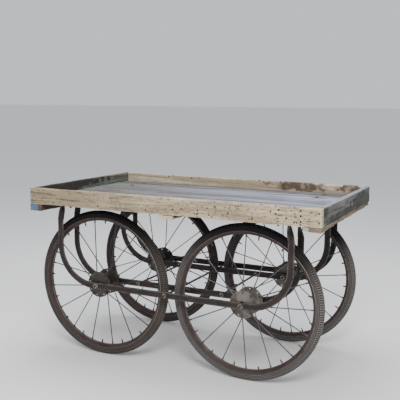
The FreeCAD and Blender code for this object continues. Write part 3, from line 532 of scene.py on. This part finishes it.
# Painted light and shade: the right wheels get the paler, lit copies of hub and spoke iron below,
# and the left wheels the darker, shaded copies.
lit_hub_iron = old_iron("lit_hub_iron", rgb(0.145, 0.13, 0.115), rgb(0.062, 0.047, 0.038),
                    rgb(0.4, 0.37, 0.33), rusted=0.5, shine=(0.4, 0.7))
shaded_hub_iron = old_iron("shaded_hub_iron", rgb(0.022, 0.017, 0.015), rgb(0.055, 0.043, 0.036),
                          rgb(0.2, 0.18, 0.15), rusted=0.45, shine=(0.4, 0.7))
lit_spoke_iron = old_iron("lit_spoke_iron", rgb(0.085, 0.082, 0.080), rgb(0.035, 0.026, 0.021),
                      rgb(0.3, 0.3, 0.3), rusted=0.42, shine=(0.3, 0.5), metallic=0.35,
                      pitted=0.0001)
shaded_spoke_iron = old_iron("shaded_spoke_iron", rgb(0.022, 0.018, 0.016), rgb(0.035, 0.023, 0.018),
                           rgb(0.1, 0.09, 0.08), rusted=0.5, shine=(0.4, 0.6), pitted=0.0001)
nut_iron = old_iron("nut_iron", rgb(0.30, 0.28, 0.25), rgb(0.09, 0.065, 0.05),
                    rgb(0.6, 0.6, 0.6), rusted=0.46, shine=(0.25, 0.45), metallic=0.6,
                    pitted=0.0002)
nail_iron = old_iron("nail_iron", rgb(0.030, 0.020, 0.016), rgb(0.06, 0.034, 0.024),
                     rgb(0.2, 0.18, 0.16), rusted=0.5, shine=(0.6, 0.85), pitted=0.0002)
ball_steel = old_iron("ball_steel", rgb(0.55, 0.55, 0.55), rgb(0.2, 0.15, 0.1),
                      rgb(0.6, 0.6, 0.6), rusted=0.2, shine=(0.18, 0.35), metallic=1.0,
                      pitted=0.00005)

# %% [markdown]
# Tyre rubber is painted nearly black higher up, as painted shade that stands for the tray's
# shadow over the upper part of each tyre, and grey with dried road dust lower down, so a mask
# from the height above the ground mixes the two.  The left tyres are browner than the right
# ones.  On a tyre the "worn" attribute marks the proud ribs and blocks, which keep the dust
# colour, while the grooves between them are painted near black as painted shade.

# %% Finishes: rubber
def rubber(name, shaded_clean, dust, high=0.76):
    """Tyre rubber painted dark above about the height high, in metres, as painted shade, and dusty
    below.
    """
    f = Finish(name)
    t = f.tree
    f.shader.inputs["Specular IOR Level"].default_value = 0.18
    grit = noise_of(t, f.place, 320.0, 5.0, 0.7)
    apart = t.nodes.new("ShaderNodeSeparateXYZ")
    feed(t, apart.inputs[0], f.place)
    # Painted shade: above about the height high the rubber turns to the dark clean colour, which
    # stands for the tray's shadow on each tyre's upper part.
    splash_and_shade_height = worked(t, "MULTIPLY_ADD", noise_of(t, f.place, 6.0, 4.0), 0.25,
                      apart.outputs["Z"])
    colour = mixed(t, stepped(t, splash_and_shade_height, high - 0.24, high, 1.0, 0.0), shaded_clean, dust)
    darker = tuple(0.5 * c for c in dust[:3]) + (1.0,)
    colour = mixed(t, worked(t, "MULTIPLY", blotches(f, 9.0, 0.5, 0.2), 0.4), colour, darker,
                   "DARKEN")
    colour = mixed(t, stepped(t, grit, 0.35, 0.7, 0.0, 0.22), colour, dust)
    # Painted shade: the grooves between the proud ribs and blocks are darkened to near black.
    groove = worked(t, "SUBTRACT", 1.0, f.worn)
    colour = mixed(t, worked(t, "MULTIPLY", groove, 0.82), colour, rgb(0.0055, 0.0050, 0.0045))
    f.bump(grit, 0.0004)
    return f.done(colour, stepped(t, grit, 0.3, 0.7, 0.66, 0.88))


# The dark clean rubber colour, which the painted shade on the tyres' upper parts uses.
SHADED_CLEAN_RUBBER = rgb(0.0075, 0.0070, 0.0058)
pale_tyre = rubber("pale_tyre_rubber", SHADED_CLEAN_RUBBER, rgb(0.150, 0.140, 0.132))
brown_tyre = rubber("brown_tyre_rubber", SHADED_CLEAN_RUBBER, rgb(0.095, 0.080, 0.073))
tyre_rubber = {"front_left": brown_tyre, "front_right": pale_tyre,
               "rear_left": brown_tyre, "rear_right": pale_tyre}

f = Finish("tube_rubber")
tube_noise = noise_of(f.tree, f.place, 90.0, 4.0)
f.bump(tube_noise, 0.0003)
tube_rubber = f.done(mixed(f.tree, tube_noise, rgb(0.02, 0.02, 0.02), rgb(0.05, 0.045, 0.04)),
                     stepped(f.tree, tube_noise, 0.3, 0.7, 0.5, 0.75))

# %% [markdown]
# ## Boards with a life behind them
# A sawn board starts as a cube that is scaled to the node's box and bevelled.  To let its
# edges chip and its faces cup, it needs points along its length, which cutting planes give:
# bisect_plane slices the whole mesh without changing its shape.  Then every point is pushed
# inward by noise: a little over the faces, much more along the edges.  Pushing only inward
# keeps each board inside the space that its node holds.

# %% Helper: worn boards
CORNER = 1.6 * MM
CHIP_REACH = 9 * MM


def sliced(bm, axis, start, end, step):
    count = max(1, round((end - start) / step))
    normal = Vector((axis == 0, axis == 1, axis == 2))
    for k in range(1, count):
        bmesh.ops.bisect_plane(bm, geom=bm.verts[:] + bm.edges[:] + bm.faces[:], dist=1e-6,
                               plane_co=normal * (start + (end - start) * k / count),
                               plane_no=normal)


def worn_board(node, material, slot, long_axis, seed, chip=3.2 * MM, cup=0.7 * MM):
    low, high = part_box(node)
    bm = bmesh.new()
    bmesh.ops.create_cube(bm, size=1)
    bmesh.ops.scale(bm, vec=high - low, verts=bm.verts)
    bmesh.ops.translate(bm, vec=(low + high) / 2, verts=bm.verts)
    bmesh.ops.bevel(bm, geom=bm.edges[:], offset=CORNER, offset_type="OFFSET", segments=2,
                    profile=0.5, affect="EDGES", material=-1)
    for axis in range(3):
        step = 11 * MM if axis == long_axis else 8 * MM
        sliced(bm, axis, low[axis], high[axis], step)
    worn = bm.verts.layers.float.new("worn")
    bm.normal_update()
    shift = Vector((seed * 3.1, seed * 1.3, seed * 2.2))
    for v in bm.verts:
        depths = sorted(min(v.co[i] - low[i], high[i] - v.co[i]) for i in range(3))
        near_edge = max(0.0, 1 - depths[1] / CHIP_REACH)
        sample = v.co * 26 + shift
        sample[long_axis] *= 0.45
        bite = max(0.0, noise.fractal(sample, 1.0, 2.1, 4) + 0.06)
        swell = 0.5 + 0.5 * noise.noise(v.co * 7 + shift)
        v.co -= v.normal * (chip * near_edge ** 2 * bite * 1.6 + cup * swell)
        v[worn] = near_edge
    return finish_piece(bm, f"worn_{node}", material, TRAY, slot, node)


# %% [markdown]
# The tray is built from the rim boards, the deck planks and the battens.  The battens are
# rougher, so they get deeper chips.

# %% Pieces: the tray's wood
LONG_X, LONG_Y = 0, 1
rim_boards = [
    worn_board("rim_board_front", front_board_wood, "board_wood", LONG_X, 1),
    worn_board("rim_board_rear_long", rear_board_wood, "board_wood", LONG_X, 2),
    worn_board("rim_board_rear_short", rear_board_wood, "board_wood", LONG_X, 3),
    worn_board("rim_board_right", right_board_wood, "board_wood", LONG_Y, 4),
    worn_board("rim_board_left", left_board_wood, "board_wood", LONG_Y, 5),
]
planks = [
    worn_board(f"deck_plank_{k}", wood, "deck_wood", LONG_X, 10 + k, cup=1.2 * MM)
    for k, wood in enumerate(deck_wood, start=1)]
battens = [
    worn_board(node, wood, "batten_wood", LONG_Y, 20 + k, chip=5 * MM)
    for k, (node, wood) in enumerate(batten_wood.items())]
print("boards:", len(rim_boards + planks + battens))

# %% [markdown]
# ## Flat iron, pulled along its route
# A smith bends each side bar from one length of flat iron: down from a foot under the deck,
# a quarter twist, a wide bend, a straight run, and the same again up the other side.  A
# curve with a bevel would do it, but the twist has to land exactly on the bolt holes.  So
# the bar is pulled: one small face with rounded corners is extruded step by step, and each
# step moves and turns the newest face to the next station of the route.

# %% Helper: the stations along one bar
BAR_WIDTH, BAR_THICK = 30 * MM, 6 * MM
BEND_RADIUS = 185 * MM
TWIST_LOW, TWIST_HIGH = 655 * MM, 727 * MM
LEAN = 12 * MM
FOOT_BEND = 9 * MM
_, foot_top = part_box("bar_front_outer")
run_height = hub_middle["front_left"].z
UPRIGHT_LEFT, UPRIGHT_RIGHT = -580.5 * MM, 585.5 * MM
FOOT_LENGTH = 70 * MM


def upright_stations(x, inward):
    """From the foot's tip down to the start of the big bend: (point, direction, twist)."""
    foot_z = foot_top.z - BAR_THICK / 2
    top_x = x + inward * LEAN
    stations = [(Vector((top_x + inward * FOOT_LENGTH, 0, foot_z)), Vector((-inward, 0, 0)), 1.0)]
    for k in range(7):
        turn = math.radians(15 * k)
        point = Vector((top_x + inward * FOOT_BEND * (1 - math.sin(turn)), 0,
                        foot_z - FOOT_BEND * (1 - math.cos(turn))))
        stations.append((point, Vector((-inward * math.cos(turn), 0, -math.sin(turn))), 1.0))
    for k in range(17):
        share = k / 16
        point = Vector((top_x + (x - top_x) * share, 0,
                        TWIST_HIGH + (TWIST_LOW - TWIST_HIGH) * share))
        stations.append((point, Vector((0, 0, -1)), 1.0 - share))
    return stations


def bar_stations():
    """The whole route, from the left foot's tip to the right foot's tip."""
    left = upright_stations(UPRIGHT_LEFT, 1)
    right = [(p, -direction, twist) for p, direction, twist
             in reversed(upright_stations(UPRIGHT_RIGHT, -1))]
    for side, x in ((-1, UPRIGHT_LEFT + BEND_RADIUS), (1, UPRIGHT_RIGHT - BEND_RADIUS)):
        for k in range(19):
            turn = math.radians(5 * k if side < 0 else 90 - 5 * k)
            centre = Vector((x, 0, run_height + BEND_RADIUS))
            point = centre + Vector((side * math.cos(turn), 0, -math.sin(turn))) * BEND_RADIUS
            direction = Vector((math.sin(turn), 0, side * math.cos(turn)))
            left.append((point, direction, 0.0))
    return left + right


# %% [markdown]
# At each station the section's long side lies in the plane of the bend, and a twist of 1
# turns it a quarter, so that it lies across the cart.  The face starts as a unit square whose
# corners are bevelled; a matrix per station carries it along.

# %% Pieces: the four bars
def station_matrix(point, direction, twist, side):
    across = Vector((direction.z, 0, -direction.x))
    thick = Vector((0, 1, 0))
    turn = Matrix.Rotation(side * twist * math.pi / 2, 3, direction)
    axes = Matrix((turn @ across, turn @ thick, direction)).transposed()
    return Matrix.Translation(point) @ axes.to_4x4()


def pulled_bar(node, seed, right_twist=1):
    low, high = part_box(node)
    middle = Vector((0, (low.y + high.y) / 2, 0))
    bm = bmesh.new()
    bmesh.ops.create_grid(bm, x_segments=4, y_segments=1, size=0.5)
    bmesh.ops.scale(bm, vec=(BAR_WIDTH, BAR_THICK, 1), verts=bm.verts)
    corners = [v for v in bm.verts if abs(v.co.x) > 0.49 * BAR_WIDTH]
    bmesh.ops.bevel(bm, geom=corners, offset=1.1 * MM, offset_type="OFFSET", segments=3,
                    profile=0.5, affect="VERTICES", material=-1)
    worn = bm.verts.layers.float.new("worn")
    for v in bm.verts:
        v[worn] = float(abs(v.co.x) > 0.45 * BAR_WIDTH)
    stations = bar_stations()
    last = Matrix.Identity(4)
    faces = bm.faces[:]
    for k, (point, direction, twist) in enumerate(stations):
        turned = -1 if k < len(stations) / 2 else right_twist
        here = station_matrix(point + middle, direction, twist, turned)
        if k:
            made = bmesh.ops.extrude_face_region(bm, geom=faces)
            faces = [e for e in made["geom"] if isinstance(e, bmesh.types.BMFace)]
        bmesh.ops.transform(bm, matrix=here @ last.inverted(),
                            verts=list({v for face in faces for v in face.verts}))
        last = here
    bm.normal_update()
    shift = Vector((seed * 2.3, seed, seed * 4.1))
    for v in bm.verts:
        v.co -= v.normal * 0.35 * MM * (0.5 + 0.5 * noise.noise(v.co * 30 + shift))
    return finish_piece(bm, f"pulled_{node}", bar_iron, TRAY, "flat_iron", node)


BARS = ("bar_front_outer", "bar_front_inner", "bar_rear_inner", "bar_rear_outer")
bars = [pulled_bar(node, k, right_twist=-1 if node == "bar_front_inner" else 1)
        for k, node in enumerate(BARS)]
print("bar:", len(bars[0].data.polygons), "faces")

# %% [markdown]
# ## Tyres
# A tyre's section is drawn once, with its ribs.  Its tread has some two hundred small
# shoulder blocks.  One block's worth is made by spinning the section through one pitch in
# four steps and sinking two of the steps between the shoulders' ribs; a second spin, which
# duplicates, lays that slice round the wheel.  The doubled seams are then merged, and the
# finished mesh is copied to the other three wheels.

# %% The tyre's section
SIDE_FOOT = (323.0, 15.9)
SHOULDER = (349.0, 13.5)
SIDE_BEND, CROWN_BEND = 22.0, 18.2
LUGS = 208
SIDE_STEPS, CROWN_STEPS = 22, 12
RIB_STEPS, RIB_LIFT = 5, 1.3
SHOULDER_START, SHOULDER_LIFT = 0.68, 0.9
LUG_DEPTH = 2.8


def arc_points(start, end, radius, count):
    """Points from start to end on an arc that bulges to the left of the way from end."""
    a, b = Vector(start), Vector(end)
    chord = b - a
    reach = math.sqrt(radius ** 2 - (chord.length / 2) ** 2)
    centre = (a + b) / 2 + Vector((chord.y, -chord.x)).normalized() * reach
    first, last = a - centre, b - centre
    sweep = first.angle_signed(last)
    return [(centre + Matrix.Rotation(-sweep * k / count, 2) @ first,
             (Matrix.Rotation(-sweep * k / count, 2) @ first).normalized())
            for k in range(count + 1)]


def tyre_section():
    """Half of the outer contour as (radius, y, is it shoulder), from the rim to the crown."""
    half = []
    for k, (point, out) in enumerate(arc_points(SIDE_FOOT, SHOULDER, SIDE_BEND, SIDE_STEPS)):
        share = k / SIDE_STEPS
        rib = share < SHOULDER_START and k % RIB_STEPS >= RIB_STEPS / 2
        shoulder = share > SHOULDER_START
        lift = RIB_LIFT if rib else SHOULDER_LIFT if shoulder else 0.0
        half.append((*(point + out * lift), shoulder, rib or shoulder))
    crown = arc_points(SHOULDER, (SHOULDER[0], -SHOULDER[1]), CROWN_BEND, 2 * CROWN_STEPS)
    for k, (point, out) in enumerate(crown[1:CROWN_STEPS + 1], start=1):
        groove = k in (6, 7)
        lift = -1.1 if groove else 0.0
        half.append((*(point + out * lift), k < 5, not groove))
    return half


# %% Pieces: four tyres
def tyre_mesh():
    half = tyre_section()
    outer = half + [(r, -y, s, w) for r, y, s, w in reversed(half[:-1])]
    bead = [(r, y, False, False) for r, y in ((311.3, 12.0), (315.3, 15.8))]
    lining = [(r, -y, False, False) for r, y in
              ((311.3, 11.0), (321.0, 12.0), (333.0, 14.2), (345.0, 9.8))]
    section = (bead + outer + [(r, -y, s, w) for r, y, s, w in reversed(bead)] + lining
               + [(349.9, 0.0, False, False)] + [(r, -y, s, w) for r, y, s, w in reversed(lining)])
    bm = bmesh.new()
    worn = bm.verts.layers.float.new("worn")
    pitch = math.tau / LUGS
    ring = []
    for radius, y, _, proud in section:
        v = bm.verts.new((radius * MM, y * MM, 0))
        v[worn] = float(proud)
        ring.append(v)
    edges = [bm.edges.new((a, b)) for a, b in zip(ring, ring[1:] + ring[:1])]
    bmesh.ops.spin(bm, geom=ring + edges, cent=(0, 0, 0), axis=(0, 1, 0), angle=pitch, steps=4,
                   use_merge=False, use_duplicate=False)
    groove_low, groove_high = pitch * 0.4, pitch * 0.85
    shoulders = {(round(r, 2), round(abs(y), 2)) for r, y, s, _ in section if s}
    for v in bm.verts:
        radius, turn = math.hypot(v.co.x, v.co.z), abs(math.atan2(v.co.z, v.co.x))
        key = (round(radius / MM, 2), round(abs(v.co.y) / MM, 2))
        if groove_low < turn < groove_high and key in shoulders:
            out = Vector((v.co.x / radius * 0.75, math.copysign(0.66, v.co.y),
                          v.co.z / radius * 0.75))
            v.co -= out * LUG_DEPTH * MM
            # A sunk step loses its "worn" mark, so its finish paints it near black as painted
            # shade.
            v[worn] = 0.0
    bmesh.ops.spin(bm, geom=bm.verts[:] + bm.edges[:] + bm.faces[:], cent=(0, 0, 0),
                   axis=(0, 1, 0), angle=pitch * (LUGS - 1), steps=LUGS - 1,
                   use_merge=False, use_duplicate=True)
    bmesh.ops.remove_doubles(bm, verts=bm.verts, dist=0.02 * MM)
    bmesh.ops.recalc_face_normals(bm, faces=bm.faces)
    mesh = bpy.data.meshes.new("tyre")
    bm.to_mesh(mesh)
    bm.free()
    return mesh


one_tyre = tyre_mesh()
for corner in CORNERS:
    mesh = one_tyre.copy()
    mesh.transform(Matrix.Translation(hub_middle[corner]))
    place_piece(mesh, f"ribbed_{corner}_tyre", tyre_rubber[corner], f"{corner}_wheel",
                "tyre_rubber", f"{corner}_tyre", sharp=math.radians(50))
print("tyre:", len(one_tyre.polygons), "faces,", LUGS, "blocks a side")

# %% [markdown]
# ## Rims
# A steel rim of this kind is rolled from strip: a channel for the spoke nipples, two shelves
# for the tyre's beads, and edges that are rolled over into thin tubes.  Its section goes
# round in one full spin, which merges its own end with its start.

# %% Pieces: four rims
def rim_mesh():
    edge_middle, edge_radius = (320.8, 16.9), 2.0
    rolled = [(edge_middle[0] + edge_radius * math.cos(math.radians(a)),
               edge_middle[1] + edge_radius * math.sin(math.radians(a)))
              for a in range(150, -151, -30)]
    half = ([(306.0, 6.0), (307.2, 7.4), (309.0, 8.8), (309.1, 12.4), (310.5, 14.8), (314.0, 17.0)]
            + rolled + [(315.2, 15.9), (312.6, 14.0), (311.0, 12.0), (311.0, 8.4), (308.0, 5.4)])
    section = half + [(r, -y) for r, y in reversed(half)]
    bm = bmesh.new()
    worn = bm.verts.layers.float.new("worn")
    ring = []
    for radius, y in section:
        v = bm.verts.new((radius * MM, y * MM, 0))
        # The rolled edge is marked fully worn, which paints a thin pale line along it: partly bare
        # metal, partly a painted highlight.
        v[worn] = 1.0 if radius > 321.5 else 0.35 if radius < 306.5 else 0.0
        ring.append(v)
    edges = [bm.edges.new((a, b)) for a, b in zip(ring, ring[1:] + ring[:1])]
    bmesh.ops.spin(bm, geom=ring + edges, cent=(0, 0, 0), axis=(0, 1, 0), angle=math.tau,
                   steps=180, use_merge=True, use_duplicate=False)
    bmesh.ops.remove_doubles(bm, verts=bm.verts, dist=0.01 * MM)
    bmesh.ops.recalc_face_normals(bm, faces=bm.faces)
    mesh = bpy.data.meshes.new("rim")
    bm.to_mesh(mesh)
    bm.free()
    return mesh


one_rim = rim_mesh()
for corner in CORNERS:
    mesh = one_rim.copy()
    mesh.transform(Matrix.Translation(hub_middle[corner]))
    place_piece(mesh, f"rolled_{corner}_rim", rim_iron_and_edge_highlight, f"{corner}_wheel", "rim_paint",
                f"{corner}_rim")

# %% [markdown]
# ## The parts that keep their shape
# Nuts, bolts, rods, axles, hubs, spokes, nipples and nails already have the right shape in
# the frame, so they only get their finish.  A CAD mesh is loose triangles, so it has no
# "worn" attribute and its finish shows no rubbed edges; its own colours carry it.

# %% Finishes on the frame's own parts
by_node = {
    "board_nails": nail_iron, "deck_nails": nail_iron, "foot_bolts": nail_iron,
    "foot_nuts": rod_iron, "rod_nuts": nut_iron, "axle_nuts": nut_iron,
    "axle_washers": nut_iron, "bearing_cones": ball_steel,
    "tie_rod_left": rod_iron, "tie_rod_middle": rod_iron, "tie_rod_right": rod_iron,
}
for corner in CORNERS:
    # Painted light and shade: the left wheels take the shaded copies of hub and spoke iron, the
    # right wheels the lit copies.
    shaded_side = corner.endswith("left")
    hub, spokes = (shaded_hub_iron, shaded_spoke_iron) if shaded_side else (lit_hub_iron, lit_spoke_iron)
    by_node |= {f"{corner}_axle": rod_iron, f"{corner}_hub_shell": hub,
                f"{corner}_spokes": spokes, f"{corner}_nipples": spokes,
                f"{corner}_bearing_balls": ball_steel, f"{corner}_inner_tube": tube_rubber}
for node, material in by_node.items():
    part = frame["nodes"][node]
    part.data.materials.clear()
    part.data.materials.append(material)

# %% [markdown]
# ## Floor, light and camera
# The floor is a plain pale sheet.  A large soft light stands high at the front right, where
# it bleaches the right half of the front board, a wide dim one fills from the left, and the
# sky is a pale even grey that leaves the underside dark.

# %% Floor
bm = bmesh.new()
bmesh.ops.create_grid(bm, x_segments=1, y_segments=1, size=300)
floor_mesh = bpy.data.meshes.new("floor")
bm.to_mesh(floor_mesh)
bm.free()
floor = bpy.data.objects.new("floor", floor_mesh)
bpy.context.scene.collection.objects.link(floor)
floor_paint = bpy.data.materials.new("floor_paint")
floor_paint.use_nodes = True
floor_shader = floor_paint.node_tree.nodes["Principled BSDF"]
floor_shader.inputs["Base Color"].default_value = rgb(0.80, 0.80, 0.80)
floor_shader.inputs["Roughness"].default_value = 0.9
floor_mesh.materials.append(floor_paint)

# %% Lights
def soft_light(name, place, size, power, tint):
    light = bpy.data.lights.new(name, "AREA")
    light.shape = "DISK"
    light.size = size
    light.energy = power
    light.color = tint
    lamp = bpy.data.objects.new(name, light)
    bpy.context.scene.collection.objects.link(lamp)
    lamp.location = place
    aim = Vector((0, 0, 0.5)) - Vector(place)
    lamp.rotation_euler = aim.to_track_quat("-Z", "Y").to_euler()


soft_light("key", (1.6, -3.4, 3.4), 1.8, 190, (1.0, 0.97, 0.92))
soft_light("top", (-0.4, 0.6, 4.0), 2.6, 110, (0.95, 0.97, 1.0))

world = bpy.data.worlds.new("pale_sky")
world.use_nodes = True
world.node_tree.nodes["Background"].inputs["Color"].default_value = (0.93, 0.95, 1.0, 1.0)
world.node_tree.nodes["Background"].inputs["Strength"].default_value = 0.80
bpy.context.scene.world = world

# %% Camera
camera_data = bpy.data.cameras.new("camera")
camera_data.sensor_width = 36
camera_data.lens = 62.52
camera = bpy.data.objects.new("camera", camera_data)
bpy.context.scene.collection.objects.link(camera)
CAMERA_PLACE = Vector((1.4478, -3.0758, 1.2203))
HEADING, TILT, ROLL = math.radians(25.284), math.radians(-7.862), math.radians(0.527)
looking = Matrix.Rotation(HEADING, 4, "Z") @ Matrix.Rotation(math.pi / 2 + TILT, 4, "X")
camera.matrix_world = Matrix.Translation(CAMERA_PLACE) @ looking @ Matrix.Rotation(ROLL, 4, "Z")
bpy.context.scene.camera = camera
